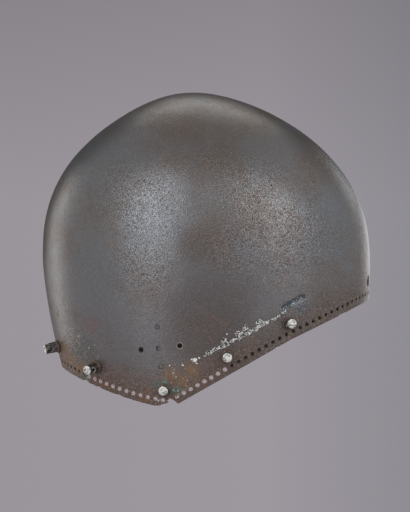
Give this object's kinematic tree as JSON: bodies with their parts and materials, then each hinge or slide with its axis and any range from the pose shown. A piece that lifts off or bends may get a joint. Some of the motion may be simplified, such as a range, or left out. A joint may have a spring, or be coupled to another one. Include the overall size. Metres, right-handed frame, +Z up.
{
  "type": "bascinet",
  "caption": "Open-faced iron helmet skull with a smooth rounded crown, a slanted lower edge, a row of small lining holes and pierced studs.",
  "frame": {"origin": "inside of the crown, where the wearer's head carries the skull", "axes": "+X towards the brow, +Y towards the wearer's left, +Z up"},
  "size_m": [0.2296, 0.1808, 0.2189],
  "materials": {
    "skull_iron": "dark patinated iron with fine pitting",
    "stud_brass": "dull and tarnished with worn bright ends",
    "stub_iron": "rough broken iron"
  },
  "bodies": {
    "root": {"skull": "skull_iron", "vervelle_right_1": "stud_brass", "vervelle_right_2": "stud_brass", "vervelle_right_3": "stud_brass", "vervelle_right_4": "stud_brass", "vervelle_right_5": "stud_brass", "vervelle_left_1": "stud_brass", "vervelle_left_2": "stud_brass", "vervelle_left_3": "stud_brass", "vervelle_left_4": "stud_brass", "vervelle_left_5": "stud_brass", "stub_right_upper": "stub_iron", "stub_right_middle": "stub_iron", "stub_right_lower": "stub_iron", "stub_right_small": "stub_iron", "stub_right_worn": "stub_iron", "stub_left_upper": "stub_iron", "stub_left_middle": "stub_iron", "stub_left_lower": "stub_iron", "stub_left_small": "stub_iron", "stub_left_worn": "stub_iron"}
  },
  "joints": []
}
